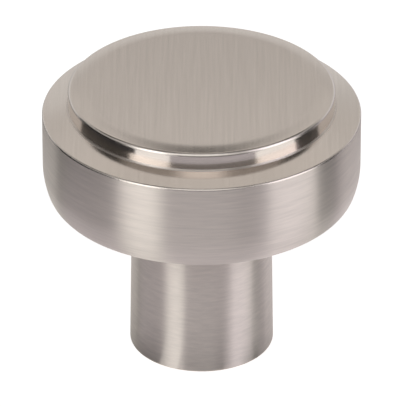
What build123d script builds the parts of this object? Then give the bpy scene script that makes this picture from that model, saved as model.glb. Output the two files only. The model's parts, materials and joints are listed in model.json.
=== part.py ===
from build123d import *
import math
import os

# Round cabinet knob: a tapered stem, a wide head and a raised disc on top, cast and turned as one piece.
# The origin is the centre of the seat against the door. +Z runs up the axis, out of the door, to the flat top.
# Lengths are in millimetres and angles in degrees. A height is measured upwards and a depth or width across.

# Stem
NECK_DIAMETER = 14.1
STEM_HEIGHT = 16.8
STEM_DRAFT = 0.85
SEAT_CHAMFER = 0.25

# Head
HEAD_DIAMETER = 32.0
HEAD_HEIGHT = 9.5
CORNER_HEIGHT = 3.8
CORNER_RADIUS = 8.0
UNDERSIDE_ROUND = 1.85
RIM_CHAMFER = 0.3

# Raised disc
LEDGE_WIDTH = 2.6
LEDGE_SLOPE = 15.0
DISC_HEIGHT = 2.7
DISC_FOOT_FILLET = 0.2
DISC_CHAMFER = 0.2
CROWN_WIDTH = 2.0
CROWN_DROP = 0.2

# Blind hole tapped for a No. 8-32 machine screw, drawn at the tap drill's diameter
TAP_DRILL_DIAMETER = 3.45
TAP_DRILL_DEPTH = 12.0
TAP_DRILL_POINT_ANGLE = 118.0
COUNTERSINK_DIAMETER = 4.7
COUNTERSINK_ANGLE = 90.0

# Radii and heights that follow from the sizes above
neck_radius = NECK_DIAMETER / 2
seat_radius = neck_radius + STEM_HEIGHT * math.tan(math.radians(STEM_DRAFT))
head_radius = HEAD_DIAMETER / 2
corner_foot = head_radius - CORNER_RADIUS + math.sqrt(CORNER_RADIUS**2 - CORNER_HEIGHT**2)
disc_radius = head_radius - LEDGE_WIDTH
flat_radius = disc_radius - CROWN_WIDTH
underside = STEM_HEIGHT
corner_top = underside + CORNER_HEIGHT
ledge = underside + HEAD_HEIGHT
top = ledge + DISC_HEIGHT
disc_edge = top - CROWN_DROP
disc_foot_height = ledge + LEDGE_WIDTH * math.tan(math.radians(LEDGE_SLOPE))
hole_radius = TAP_DRILL_DIAMETER / 2
mouth_radius = COUNTERSINK_DIAMETER / 2


def cone_height(radius_change, full_angle):
    """Height over which a cone of the given full angle changes its radius by the given amount."""
    return radius_change / math.tan(math.radians(full_angle / 2))


def body():
    """The whole outside, turned from one half section with its edges rounded or broken."""
    seat_edge = (seat_radius, 0)
    head_edge = (corner_foot, underside)
    rim = (head_radius, ledge)
    disc_foot = (disc_radius, disc_foot_height)
    disc_rim = (disc_radius, disc_edge)
    with BuildPart() as turned:
        with BuildSketch(Plane.XZ) as section:
            with BuildLine():
                Polyline((0, 0), seat_edge, (neck_radius, underside), head_edge)
                TangentArc((head_radius, corner_top), head_edge, tangent=(0, -1))
                Polyline((head_radius, corner_top), rim, disc_foot, disc_rim)
                TangentArc((flat_radius, top), disc_rim, tangent=(1, 0))
                Polyline((flat_radius, top), (0, top), (0, 0))
            make_face()
            for corner, break_edge, amount in (
                (seat_edge, chamfer, SEAT_CHAMFER),
                (head_edge, fillet, UNDERSIDE_ROUND),
                (rim, chamfer, RIM_CHAMFER),
                (disc_foot, fillet, DISC_FOOT_FILLET),
                (disc_rim, chamfer, DISC_CHAMFER),
            ):
                break_edge(section.vertices().sort_by_distance(corner)[0], amount)
        revolve(axis=Axis.Z)
    return turned.part


def screw_hole():
    """The countersunk mouth, the straight wall and the drill's point, as one solid to cut away."""
    wall_start = cone_height(mouth_radius - hole_radius, COUNTERSINK_ANGLE)
    point = TAP_DRILL_DEPTH + cone_height(hole_radius, TAP_DRILL_POINT_ANGLE)
    with BuildPart() as bored:
        with BuildSketch(Plane.XZ):
            with BuildLine():
                Polyline(
                    (0, 0),
                    (mouth_radius, 0),
                    (hole_radius, wall_start),
                    (hole_radius, TAP_DRILL_DEPTH),
                    (0, point),
                    close=True,
                )
            make_face()
        revolve(axis=Axis.Z)
    return bored.part


knob = body() - screw_hole()
knob.label = "knob"

os.makedirs("parts", exist_ok=True)
export_step(knob, "parts/knob.step")
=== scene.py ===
import json
import math
from collections import namedtuple

import bpy
from mathutils import Color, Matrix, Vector


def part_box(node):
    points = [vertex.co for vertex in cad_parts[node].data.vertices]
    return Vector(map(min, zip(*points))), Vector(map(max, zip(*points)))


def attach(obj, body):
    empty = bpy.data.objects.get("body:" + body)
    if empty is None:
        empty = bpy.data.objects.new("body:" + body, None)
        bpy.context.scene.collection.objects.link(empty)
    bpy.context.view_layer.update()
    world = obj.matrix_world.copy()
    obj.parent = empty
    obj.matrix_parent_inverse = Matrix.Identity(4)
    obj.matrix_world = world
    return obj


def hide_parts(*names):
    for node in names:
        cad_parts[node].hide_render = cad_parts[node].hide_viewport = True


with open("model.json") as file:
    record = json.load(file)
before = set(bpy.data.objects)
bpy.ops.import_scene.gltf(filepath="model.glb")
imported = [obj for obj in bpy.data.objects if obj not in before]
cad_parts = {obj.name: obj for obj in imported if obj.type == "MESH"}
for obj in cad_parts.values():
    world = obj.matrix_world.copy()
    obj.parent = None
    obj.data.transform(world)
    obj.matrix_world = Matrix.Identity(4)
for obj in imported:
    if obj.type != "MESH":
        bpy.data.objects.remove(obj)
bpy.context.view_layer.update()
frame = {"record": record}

# Satin nickel cabinet knob, turned from one half section, on a white table among grey cards.
# Lengths are in metres and angles in degrees. An azimuth of 0 points at the camera and 90 at +X.
MM = 0.001
INCH = 25.4 * MM

# Sizes that the frame states
head_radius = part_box("knob")[1].x
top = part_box("knob")[1].z
screw_hole = next(mount for mount in frame["record"]["mounts"] if mount["name"] == "screw_hole")
hole_radius = screw_hole["dims"]["r_mm"] * MM
hole_wall = screw_hole["dims"]["length_mm"] * MM

# Sizes of the half section that the frame doesn't state; they are the solid's
NECK_RADIUS = 7.05 * MM
STEM_HEIGHT = 16.8 * MM
STEM_DRAFT = 0.85
HEAD_HEIGHT = 9.5 * MM
CORNER_HEIGHT = 3.8 * MM
CORNER_RADIUS = 8.0 * MM
UNDERSIDE_ROUND = 1.85 * MM
LEDGE_WIDTH = 2.6 * MM
LEDGE_SLOPE = 15.0
DISC_FOOT_FILLET = 0.2 * MM
CROWN_WIDTH = 2.0 * MM
CROWN_DROP = 0.2 * MM
COUNTERSINK_RADIUS = 2.35 * MM
DRILL_POINT_ANGLE = 118.0

# Soft rounds, where the solid has plain chamfers
SEAT_ROUND = 0.25 * MM
RIM_ROUND = 0.25 * MM
DISC_ROUND = 0.4 * MM

# Places that follow, and how far a round at the ledge's slope starts from its corner, per unit of radius
ledge_height = STEM_HEIGHT + HEAD_HEIGHT
disc_radius = head_radius - LEDGE_WIDTH
slope_reach = math.tan(math.radians(90 - LEDGE_SLOPE) / 2)

# Thread of a No. 8-32 screw, cut outwards from the drilled wall and shallower over its last turn
THREADS_PER_INCH = 32
THREAD_PITCH = INCH / THREADS_PER_INCH
THREAD_ROOT_RADIUS = 4.166 / 2 * MM
THREAD_END = 11.0 * MM
THREAD_RUNOUT = THREAD_PITCH

# Fineness of the mesh, and the step over which the thread's slope is taken
SEGMENTS = 192
ROWS_PER_PITCH = 10
ROUND_STEPS = 10
ANGLES = [2 * math.pi * j / SEGMENTS for j in range(SEGMENTS)]
SLOPE_STEP = THREAD_PITCH / 100

# Camera, as fitted to the photograph's outline. The image and the focal length are in pixels, and the sensor
# is in millimetres.
IMAGE_SIZE = 407
FOCAL_PIXELS = 6431.8
SENSOR_WIDTH = 36.0
CAMERA_ELEVATION = 30.0
CAMERA_DISTANCE = 0.65
CAMERA_AIM = Vector((0.19, 0.0, 15.55)) * MM

# Finish: linear colour, how much the brush lines vary colour and roughness, and how high they stand
NICKEL = Color((0.72, 0.655, 0.60))
TURNED_GRAIN = 0.18
BRUSHED_GRAIN = 0.10
ROUGHNESS_SPREAD = 0.1
LINE_RELIEF = 0.0015 * MM
QUARTER_TURN = 0.25

# Noise of the brush lines: cells per metre across them and along straight ones, the radius in cells of the
# circle that a round one follows, and how many finer layers there are and how strong
LINES_ACROSS = 3500.0
LINES_ALONG = 90.0
LINES_ROUND = 4.0
LINE_DETAIL = 3.0
LINE_COARSENESS = 0.6

# Table, and the cards that lie on it and stand round it
TABLE_SIZE = 6.0
TABLE_DROP = 0.02 * MM
TABLE_GLOW = 0.72
TABLE_PAINT = 0.8
CARD_DROP = 0.01 * MM
CARD_START = 7.4 * MM
CARD_END = 1.5
CARD_STEPS = 24
WHITE = Color((1.0, 1.0, 1.0))
PINK = Color((1.04, 1.0, 1.06))

# Sides of the cards on the table: the azimuth at which a side leaves the stem, and its direction
LEFT_SIDE = (-60, -114)
LEFT_PATCH_SIDE = (-38, -55)
FRONT_LEFT_SIDE = (-21, -25)
FRONT_RIGHT_SIDE = (18, 45.6)
RIGHT_PATCH_SIDE = (33.5, 84)
RIGHT_SIDE = (53, 104)
BACK_SIDE = (180, 180)
LEFT_SIDE_FROM_BACK = tuple(angle + 360 for angle in LEFT_SIDE)

# Cards on the table, by sector: its two sides, its tint, and the outer radius and grey of each card, from the
# stem outwards. The darker cards next to the stem are painted shadow: the knob's own shadow on the table,
# as the metal mirrors it
FLOOR_SECTORS = {
    "front": (
        FRONT_LEFT_SIDE, FRONT_RIGHT_SIDE, PINK,
        (
            # painted shadow: the two cards next to the stem are darker than the ones beyond them
            (11 * MM, 0.33), (18 * MM, 0.46), (32 * MM, 0.84),
            (54 * MM, 0.90), (82 * MM, 0.48), (CARD_END, 0.26),
        ),
    ),
    "left": (
        LEFT_SIDE, LEFT_PATCH_SIDE, PINK,
        ((11 * MM, 0.24), (30 * MM, 0.64), (52 * MM, 1.36), (75 * MM, 0.03), (CARD_END, 0.01)),
    ),
    "left_patch": (
        LEFT_PATCH_SIDE, FRONT_LEFT_SIDE, WHITE,
        ((12 * MM, 0.80), (34 * MM, 0.80), (54 * MM, 0.62)),
    ),
    "right_patch": (
        FRONT_RIGHT_SIDE, RIGHT_PATCH_SIDE, PINK,
        ((12 * MM, 0.72), (34 * MM, 0.84), (54 * MM, 0.58)),
    ),
    "right": (
        RIGHT_PATCH_SIDE, RIGHT_SIDE, WHITE,
        ((11 * MM, 0.20), (30 * MM, 0.70), (52 * MM, 1.30), (75 * MM, 0.06), (CARD_END, 0.01)),
    ),
    "back_right": (
        RIGHT_SIDE, BACK_SIDE, PINK,
        ((11 * MM, 0.46), (30 * MM, 0.60), (50 * MM, 1.3), (100 * MM, 0.32), (CARD_END, 0.60)),
    ),
    "back_left": (
        BACK_SIDE, LEFT_SIDE_FROM_BACK, WHITE,
        ((11 * MM, 0.26), (30 * MM, 0.42), (50 * MM, 1.2), (100 * MM, 0.18), (CARD_END, 0.50)),
    ),
}

# Standing cards, in front and at the sides and then behind: azimuths of their sides, elevations of their foot
# and top, colour, and for one card how much further out its sides are at the top
STANDING_CARDS = {
    "camera_card": ((-26, 45), (0, 18), 0.22 * WHITE),
    "window": ((-26, 26), (18, 48), WHITE),
    "lamp": ((-26, 26), (48, 68), 1.12 * WHITE),
    "left_softbox": ((-60, -26), (0, 9), 1.75 * WHITE),
    "left_wall": ((-55, -30), (9, 44), 2.45 * WHITE),
    "right_softbox": ((45, 83), (0, 9), 1.7 * WHITE),
    "right_wall": ((46, 83), (9, 44), Color((1.75, 1.70, 1.86))),
    "left_flag": ((-118, -60), (0, 16), 0.0 * WHITE),
    "left_screen": ((-118, -60), (16, 34), 0.42 * WHITE),
    "left_top": ((-134, -92), (40, 60), 0.01 * WHITE),
    "right_flag": ((83, 112), (0, 16), 0.0 * WHITE),
    "right_screen": ((83, 112), (16, 34), 0.36 * WHITE),
    "right_top": ((94, 132), (38, 58), 0.04 * WHITE),
}
BACK_CARDS = {
    "back_window": ((170, 206), (6, 26.5), Color((0.71, 0.70, 0.69))),
    "dark_card": ((177, 183), (37, 57), 0.02 * WHITE, 8),
}

# Card close behind the knob and above it, whose glow grows from its foot to its top
GRADED_HALF_WIDTH = 48 * MM
GRADED_DISTANCE = 150 * MM
GRADED_FOOT = 98 * MM
GRADED_TOP = 126 * MM
GRADED_DIM = Color((0.35, 0.335, 0.32))
GRADED_BRIGHT = Color((0.80, 0.775, 0.75))

# Skies in front and behind, by elevation, and the +Y of a direction at which the back one starts and is full
OVERHEAD = (
    (77, 0.10 * WHITE),
    (82, Color((0.56, 0.55, 0.54))),
    (90, Color((0.60, 0.59, 0.58))),
)
FRONT_SKY = (
    (0, 0.42 * WHITE),
    (30, 0.54 * WHITE),
    (44, Color((0.54, 0.53, 0.52))),
    (50, Color((0.38, 0.37, 0.36))),
    (66, Color((0.38, 0.37, 0.36))),
    (70, 0.10 * WHITE),
    *OVERHEAD,
)
BACK_SKY = (
    (0, 0.90 * WHITE),
    (18, Color((0.62, 0.61, 0.60))),
    (30, Color((0.60, 0.58, 0.56))),
    (40, Color((0.67, 0.65, 0.63))),
    (50, Color((0.71, 0.68, 0.65))),
    (66, Color((0.71, 0.68, 0.65))),
    (71, 0.10 * WHITE),
    *OVERHEAD,
)
BACK_SKY_START = 0.15
BACK_SKY_FULL = 0.45


# Half section

# A row of the mesh has a height, and a radius and a normal that are functions of the angle round the axis
Row = namedtuple("Row", "radius_at height normal_at")


def arc(centre, radius, start, end, steps, hollow=False):
    """Points and normals along an arc, whose metal is inside it, or outside it where it is hollow."""
    side = -1 if hollow else 1
    samples = []
    for i in range(steps + 1):
        angle = math.radians(start + (end - start) * i / steps)
        out = Vector((math.cos(angle), math.sin(angle)))
        samples.append((Vector(centre) + radius * out, side * out))
    return samples


def straight(start, end, steps=1):
    """Points and normals along a straight stretch, whose metal is on the left of the way."""
    start = Vector(start)
    end = Vector(end)
    way = (end - start).normalized()
    normal = Vector((way.y, -way.x))
    return [(start.lerp(end, i / steps), normal) for i in range(steps + 1)]


def turned_rows(samples):
    """Rows of the mesh for a turned stretch, which is the same all round."""
    def row(point, normal):
        return Row(
            lambda angle: point.x,
            point.y,
            lambda angle: (normal.x * math.cos(angle), normal.x * math.sin(angle), normal.y),
        )
    return [row(point, normal) for point, normal in samples]


def stem_rows():
    """Seat, its rounded edge and the drafted side; the round is tangent to both."""
    draft = math.radians(STEM_DRAFT)
    foot_radius = NECK_RADIUS + STEM_HEIGHT * math.tan(draft)
    centre = (foot_radius - SEAT_ROUND * (1 + math.sin(draft)) / math.cos(draft), SEAT_ROUND)
    edge = arc(centre, SEAT_ROUND, -90, STEM_DRAFT, ROUND_STEPS)
    seat = straight((COUNTERSINK_RADIUS, 0), edge[0][0])
    side = straight(edge[-1][0], (NECK_RADIUS, STEM_HEIGHT), ROUND_STEPS)
    return [("turned", turned_rows(stretch)) for stretch in (seat, edge, side)]


def head_rows():
    """Underside, tight and wide arcs of the lower corner, straight side and rim, and where the rim ends."""
    corner_top = STEM_HEIGHT + CORNER_HEIGHT
    wide_centre = Vector((head_radius - CORNER_RADIUS, corner_top))
    reach = CORNER_RADIUS - UNDERSIDE_ROUND
    drop = CORNER_HEIGHT - UNDERSIDE_ROUND
    meet = -math.degrees(math.asin(drop / reach))
    tight_centre = wide_centre + Vector((math.sqrt(reach**2 - drop**2), -drop))
    tight = arc(tight_centre, UNDERSIDE_ROUND, -90, meet, 2 * ROUND_STEPS)
    wide = arc(wide_centre, CORNER_RADIUS, meet, 0, ROUND_STEPS)
    underside = straight((NECK_RADIUS, STEM_HEIGHT), tight[0][0])
    rim_centre = (head_radius - RIM_ROUND, ledge_height - RIM_ROUND * slope_reach)
    rim = arc(rim_centre, RIM_ROUND, 0, 90 - LEDGE_SLOPE, ROUND_STEPS)
    side = straight(wide[-1][0], rim[0][0], ROUND_STEPS)
    rows = [("turned", turned_rows(stretch)) for stretch in (underside, tight, wide, side)]
    return rows + [("rim", turned_rows(rim))], rim[-1][0]


def disc_rows(ledge_start):
    """Sloping ledge, hollow fillet, wall of the raised disc, its rounded edge, the crown and the flat top."""
    crown_radius = CROWN_WIDTH / math.sin(2 * math.atan(CROWN_DROP / CROWN_WIDTH))
    crown_centre = Vector((disc_radius - CROWN_WIDTH, top - crown_radius))
    reach = crown_radius - DISC_ROUND
    across = CROWN_WIDTH - DISC_ROUND
    meet = math.degrees(math.acos(across / reach))
    edge_centre = crown_centre + Vector((across, math.sqrt(reach**2 - across**2)))
    edge = arc(edge_centre, DISC_ROUND, 0, meet, ROUND_STEPS)
    crown = arc(crown_centre, crown_radius, meet, 90, ROUND_STEPS)
    flat = straight(crown[-1][0], (0, top), ROUND_STEPS)
    foot_height = ledge_height + LEDGE_WIDTH * math.tan(math.radians(LEDGE_SLOPE))
    fillet_centre = (disc_radius + DISC_FOOT_FILLET, foot_height + DISC_FOOT_FILLET * slope_reach)
    fillet = arc(fillet_centre, DISC_FOOT_FILLET, 270 - LEDGE_SLOPE, 180, ROUND_STEPS, hollow=True)
    wall = straight(fillet[-1][0], edge[0][0])
    ledge_face = straight(ledge_start, fillet[0][0])
    return [
        ("ledge", turned_rows(ledge_face)),
        ("turned", turned_rows(fillet)),
        ("polished", turned_rows(wall)),
        ("crown", turned_rows(edge)),
        ("crown", turned_rows(crown)),
        ("linear", turned_rows(flat)),
    ]


# Tapped hole

def tapped_radius(angle, height):
    """Radius of the hole there: the drilled wall with the thread cut in, or the 90 degree countersink."""
    turn = height / THREAD_PITCH - angle / (2 * math.pi)
    groove = 0.5 - 0.5 * math.cos(2 * math.pi * turn)
    share = min(1, max(0, (THREAD_END - height) / THREAD_RUNOUT))
    threaded = hole_radius + (THREAD_ROOT_RADIUS - hole_radius) * groove * share
    return max(threaded, COUNTERSINK_RADIUS - height)


def tapped_normal(angle, height):
    """Normal of the hole there, into the hole, from the radius a short step along it and round it."""
    turn = SLOPE_STEP / hole_radius
    higher = tapped_radius(angle, height + SLOPE_STEP)
    lower = tapped_radius(angle, height - SLOPE_STEP)
    further = tapped_radius(angle + turn, height)
    nearer = tapped_radius(angle - turn, height)
    rise = (higher - lower) / (2 * SLOPE_STEP)
    lean = (further - nearer) / (2 * SLOPE_STEP)
    x = -math.cos(angle) - lean * math.sin(angle)
    y = -math.sin(angle) + lean * math.cos(angle)
    return Vector((x, y, rise)).normalized()


def hole_rows():
    """Drill point and tapped wall, from the axis down to the countersunk mouth."""
    countersink_depth = COUNTERSINK_RADIUS - hole_radius
    depth = countersink_depth + hole_wall
    point = depth + hole_radius / math.tan(math.radians(DRILL_POINT_ANGLE / 2))
    count = round(depth / THREAD_PITCH * ROWS_PER_PITCH)

    def row(height):
        return Row(
            lambda angle: tapped_radius(angle, height),
            height,
            lambda angle: tapped_normal(angle, height),
        )
    wall = [row(depth * (1 - i / count)) for i in range(count + 1)]
    return [("bored", turned_rows(straight((0, point), (hole_radius, depth)))), ("bored", wall)]


# Mesh

def knob_mesh(name, stretches, materials):
    """One closed mesh from the rows of all stretches, in order, with each corner's own normal."""
    points = []
    faces = []
    normals = []
    face_slots = []
    slots = list(materials)

    def ring(row):
        """Numbers of the points round a row: all the same point where the row is on the axis."""
        first = len(points)
        if row.radius_at(0) == 0:
            points.append((0, 0, row.height))
            return [first] * SEGMENTS
        for angle in ANGLES:
            radius = row.radius_at(angle)
            points.append((radius * math.cos(angle), radius * math.sin(angle), row.height))
        return list(range(first, first + SEGMENTS))

    # A stretch starts on the last ring of the one before it, and a face on the axis has only three corners
    start = None
    for finish, rows in stretches:
        for start_row, end_row in zip(rows, rows[1:]):
            start = start or ring(start_row)
            end = ring(end_row)
            start_normals = [start_row.normal_at(angle) for angle in ANGLES]
            end_normals = [end_row.normal_at(angle) for angle in ANGLES]
            for j in range(SEGMENTS):
                k = (j + 1) % SEGMENTS
                corners = {start[j]: start_normals[j], start[k]: start_normals[k]}
                corners[end[k]] = end_normals[k]
                corners[end[j]] = end_normals[j]
                faces.append(list(corners))
                normals.extend(corners.values())
                face_slots.append(slots.index(finish))
            start = end

    mesh = bpy.data.meshes.new(name)
    mesh.from_pydata(points, [], faces)
    for material in materials.values():
        mesh.materials.append(material)
    mesh.polygons.foreach_set("material_index", face_slots)
    mesh.polygons.foreach_set("use_smooth", [True] * len(faces))
    mesh.normals_split_custom_set(normals)
    return mesh


# Shader nodes

def add(tree, kind, inputs=None, **settings):
    """A new node with the given settings, and with each input linked to a socket or set to a value."""
    node = tree.nodes.new(kind)
    for name, value in settings.items():
        setattr(node, name, value)
    for name, value in (inputs or {}).items():
        if isinstance(value, bpy.types.NodeSocket):
            tree.links.new(value, node.inputs[name])
        else:
            node.inputs[name].default_value = value
    return node


def scalar_math(tree, operation, first, second):
    """Result of an operation on two numbers."""
    return add(tree, "ShaderNodeMath", {0: first, 1: second}, operation=operation).outputs[0]


def vector_math(tree, operation, first, second=(0, 0, 0)):
    """Result of an operation on one vector or two."""
    return add(tree, "ShaderNodeVectorMath", {0: first, 1: second}, operation=operation).outputs[0]


def blend(tree, share, first, second):
    """Colour between two, by a share."""
    inputs = {0: share, "A": first, "B": second}
    return add(tree, "ShaderNodeMix", inputs, data_type="RGBA").outputs["Result"]


def opaque(colour):
    """A linear colour with its alpha."""
    return (*colour, 1)


# Nickel finishes

def straight_lines(tree):
    """Coordinates in which the brush lines run along Y."""
    place = add(tree, "ShaderNodeTexCoord").outputs["Object"]
    return vector_math(tree, "MULTIPLY", place, (LINES_ACROSS, LINES_ALONG, 0))


def round_lines(tree):
    """Coordinates in which the brush lines run round the axis."""
    place = add(tree, "ShaderNodeTexCoord").outputs["Object"]
    flat = vector_math(tree, "MULTIPLY", place, (1, 1, 0))
    radius = add(tree, "ShaderNodeVectorMath", {0: flat}, operation="LENGTH").outputs["Value"]
    height = add(tree, "ShaderNodeSeparateXYZ", {0: place}).outputs["Z"]
    along_section = scalar_math(tree, "ADD", radius, height)
    across = scalar_math(tree, "MULTIPLY", along_section, LINES_ACROSS)
    outward = vector_math(tree, "NORMALIZE", flat)
    around = vector_math(tree, "MULTIPLY", outward, (LINES_ROUND, LINES_ROUND, 0))
    stacked = add(tree, "ShaderNodeCombineXYZ", {"Z": across}).outputs[0]
    return vector_math(tree, "ADD", around, stacked)


def nickel(name, lines, grain, roughness, anisotropy):
    """Brushed nickel, whose lines vary its colour and roughness a little and stand up as a slight relief."""
    material = bpy.data.materials.new(name)
    material.use_nodes = True
    tree = material.node_tree
    noise_inputs = {"Vector": lines(tree), "Scale": 1.0, "Detail": LINE_DETAIL, "Roughness": LINE_COARSENESS}
    noise = add(tree, "ShaderNodeTexNoise", noise_inputs).outputs[0]
    colour = blend(tree, noise, opaque(NICKEL * (1 - grain)), opaque(NICKEL * (1 + grain)))
    smoothest = roughness * (1 - ROUGHNESS_SPREAD)
    roughest = roughness * (1 + ROUGHNESS_SPREAD)
    spread_inputs = {"Value": noise, "To Min": smoothest, "To Max": roughest}
    rough = add(tree, "ShaderNodeMapRange", spread_inputs).outputs[0]
    relief_inputs = {"Height": noise, "Strength": 1.0, "Distance": LINE_RELIEF}
    relief = add(tree, "ShaderNodeBump", relief_inputs).outputs[0]
    metal = tree.nodes["Principled BSDF"]
    metal.inputs["Metallic"].default_value = 1.0
    metal.inputs["Anisotropic"].default_value = anisotropy
    if lines is round_lines:
        metal.inputs["Anisotropic Rotation"].default_value = QUARTER_TURN
        tangent = add(tree, "ShaderNodeTangent", direction_type="RADIAL", axis="Z").outputs[0]
    else:
        tangent = add(tree, "ShaderNodeCombineXYZ", {"X": 1.0}).outputs[0]
    tree.links.new(colour, metal.inputs["Base Color"])
    tree.links.new(rough, metal.inputs["Roughness"])
    tree.links.new(relief, metal.inputs["Normal"])
    tree.links.new(tangent, metal.inputs["Tangent"])
    return material


# Knob

finishes = {
    "bored": nickel("bored_nickel", round_lines, TURNED_GRAIN, roughness=0.30, anisotropy=0.5),
    "turned": nickel("turned_nickel", round_lines, TURNED_GRAIN, roughness=0.43, anisotropy=0.98),
    "linear": nickel("brushed_nickel", straight_lines, BRUSHED_GRAIN, roughness=0.26, anisotropy=0.85),
    "crown": nickel("crown_nickel", straight_lines, BRUSHED_GRAIN, roughness=0.225, anisotropy=0.4),
    "ledge": nickel("ledge_nickel", straight_lines, BRUSHED_GRAIN, roughness=0.20, anisotropy=0.7),
    "rim": nickel("rim_nickel", round_lines, BRUSHED_GRAIN, roughness=0.27, anisotropy=0.5),
    "polished": nickel("polished_nickel", round_lines, BRUSHED_GRAIN, roughness=0.13, anisotropy=0.5),
}
head, ledge_start = head_rows()
stretches = hole_rows() + stem_rows() + head + disc_rows(ledge_start)
knob = bpy.data.objects.new("knob_body", knob_mesh("knob_body", stretches, finishes))
bpy.context.scene.collection.objects.link(knob)
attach(knob, "root")
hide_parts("knob")


# Stage

def put(name, points, faces, material):
    """The table or a card, which is no piece of the knob."""
    mesh = bpy.data.meshes.new(name)
    mesh.from_pydata(points, [], faces)
    mesh.materials.append(material)
    thing = bpy.data.objects.new(name, mesh)
    bpy.context.scene.collection.objects.link(thing)
    return thing


# Table

def table_material():
    """White for the camera and in the metal, less the knob's shadow; from below it can be seen through."""
    material = bpy.data.materials.new("white_table")
    material.use_nodes = True
    tree = material.node_tree
    tree.nodes.clear()
    path = add(tree, "ShaderNodeLightPath").outputs
    seen = scalar_math(tree, "MAXIMUM", path["Is Camera Ray"], path["Is Glossy Ray"])
    seen = scalar_math(tree, "MAXIMUM", seen, path["Is Transmission Ray"])
    glow = scalar_math(tree, "MULTIPLY", seen, TABLE_GLOW)
    light = add(tree, "ShaderNodeEmission", {"Strength": glow})
    paint = add(tree, "ShaderNodeBsdfDiffuse", {"Color": opaque(TABLE_PAINT * WHITE)})
    both = add(tree, "ShaderNodeAddShader", {0: light.outputs[0], 1: paint.outputs[0]})
    clear = add(tree, "ShaderNodeBsdfTransparent")
    below = add(tree, "ShaderNodeNewGeometry").outputs["Backfacing"]
    mixed = add(tree, "ShaderNodeMixShader", {0: below, 1: both.outputs[0], 2: clear.outputs[0]})
    add(tree, "ShaderNodeOutputMaterial", {"Surface": mixed.outputs[0]})
    return material


def table():
    """A wide white table, just under the seat."""
    half = TABLE_SIZE / 2
    corners = [(x * half, y * half, -TABLE_DROP) for x, y in ((-1, -1), (1, -1), (1, 1), (-1, 1))]
    put("table", corners, [(0, 1, 2, 3)], table_material())


table()


# Cards, which stand for the studio that the metal mirrors

def glowing(name, colour):
    """Material of a card, which shows its colour whatever the light."""
    material = bpy.data.materials.new(name)
    material.use_nodes = True
    tree = material.node_tree
    tree.nodes.clear()
    glow = add(tree, "ShaderNodeEmission", {"Color": opaque(colour)})
    add(tree, "ShaderNodeOutputMaterial", {"Surface": glow.outputs[0]})
    return material


def put_for_metal(name, points, faces, material):
    """A card that only the metal shows: the camera doesn't see it, and it lights and shades nothing else."""
    card = put(name, points, faces, material)
    card.visible_camera = False
    card.visible_diffuse = False
    card.visible_shadow = False


def strip(name, points, colour):
    """A card of one colour, from pairs of points along it."""
    faces = [(2 * i, 2 * i + 1, 2 * i + 3, 2 * i + 2) for i in range(CARD_STEPS)]
    put_for_metal(name, points, faces, glowing(name, colour))


def floor_card(name, first, last, colour, start, end):
    """A card on the table between two sides, from one radius to another."""
    points = []
    for i in range(CARD_STEPS + 1):
        share = i / CARD_STEPS
        foot = math.radians(first[0] + (last[0] - first[0]) * share)
        way = math.radians(first[1] + (last[1] - first[1]) * share)
        for radius in (start, end):
            reach = radius - CARD_START
            x = CARD_START * math.sin(foot) + reach * math.sin(way)
            y = -CARD_START * math.cos(foot) - reach * math.cos(way)
            points.append((x, y, -CARD_DROP))
    strip(name, points, colour)


def floor_sector(name, first, last, tint, cards):
    """Cards between two sides, outwards from the stem, each given by the radius of its end and its grey."""
    start = CARD_START
    # the darker cards next to the stem are painted shadow, the knob's own shadow on the table
    for end, grey in cards:
        floor_card(f"{name}_{round(end / MM)}", first, last, grey * tint, start, end)
        start = end


def standing_card(name, azimuths, elevations, colour, flare=0):
    """A card between two azimuths and two elevations, whose sides are further out at its top by the flare."""
    first, last = azimuths
    low, high = elevations
    points = []
    for i in range(CARD_STEPS + 1):
        share = i / CARD_STEPS
        for elevation, wider in ((low, 0), (high, flare)):
            way = math.radians(first - wider + (last - first + 2 * wider) * share)
            height = CARD_END * math.tan(math.radians(elevation))
            points.append((CARD_END * math.sin(way), -CARD_END * math.cos(way), height))
    strip(name, points, colour)


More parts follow.
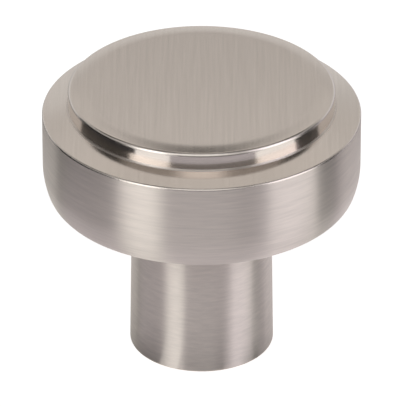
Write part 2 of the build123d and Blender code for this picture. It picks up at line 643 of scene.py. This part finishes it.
def graded_card(name):
    """The card close behind the knob, graded by height."""
    material = glowing(name, GRADED_DIM)
    tree = material.node_tree
    place = add(tree, "ShaderNodeTexCoord").outputs["Generated"]
    share = add(tree, "ShaderNodeSeparateXYZ", {0: place}).outputs["Z"]
    colour = blend(tree, share, opaque(GRADED_DIM), opaque(GRADED_BRIGHT))
    tree.links.new(colour, tree.nodes["Emission"].inputs["Color"])
    corners = ((-1, GRADED_FOOT), (1, GRADED_FOOT), (1, GRADED_TOP), (-1, GRADED_TOP))
    points = [(side * GRADED_HALF_WIDTH, GRADED_DISTANCE, height) for side, height in corners]
    put_for_metal(name, points, [(0, 1, 2, 3)], material)


for name, sector in FLOOR_SECTORS.items():
    floor_sector(name, *sector)
for name, card in STANDING_CARDS.items():
    standing_card(name, *card)
graded_card("graded_card")
for name, card in BACK_CARDS.items():
    standing_card(name, *card)


# Sky

def sky_ramp(tree, height, steps):
    """Colour of the sky by the height of the direction, from colours at given elevations."""
    ramp = add(tree, "ShaderNodeValToRGB", {"Fac": height})
    marks = ramp.color_ramp.elements
    while len(marks) < len(steps):
        marks.new(1.0)
    for mark, (elevation, colour) in zip(marks, steps):
        mark.position = math.sin(math.radians(elevation))
        mark.color = opaque(colour)
    return ramp.outputs["Color"]


def sky():
    """Light from all round: one sky in front and another behind, with a dim ring high up in both."""
    world = bpy.data.worlds.new("studio")
    bpy.context.scene.world = world
    world.use_nodes = True
    tree = world.node_tree
    way = add(tree, "ShaderNodeTexCoord").outputs["Generated"]
    split = add(tree, "ShaderNodeSeparateXYZ", {0: way}).outputs
    turn_inputs = {"Value": split["Y"], "From Min": BACK_SKY_START, "From Max": BACK_SKY_FULL}
    behind = add(tree, "ShaderNodeMapRange", turn_inputs).outputs[0]
    front = sky_ramp(tree, split["Z"], FRONT_SKY)
    back = sky_ramp(tree, split["Z"], BACK_SKY)
    colour = blend(tree, behind, front, back)
    tree.links.new(colour, tree.nodes["Background"].inputs["Color"])


sky()


# Camera

def camera():
    """The photograph's camera, which looks down at its aim from far off."""
    lens = bpy.data.cameras.new("camera")
    lens.sensor_width = SENSOR_WIDTH
    lens.lens = FOCAL_PIXELS / IMAGE_SIZE * SENSOR_WIDTH
    viewer = bpy.data.objects.new("camera", lens)
    bpy.context.scene.collection.objects.link(viewer)
    elevation = math.radians(CAMERA_ELEVATION)
    toward = Vector((0, -math.cos(elevation), math.sin(elevation)))
    viewer.location = CAMERA_AIM + CAMERA_DISTANCE * toward
    viewer.rotation_euler = toward.to_track_quat("Z", "Y").to_euler()
    return viewer


bpy.context.scene.camera = camera()
bpy.context.scene.view_settings.view_transform = "Standard"
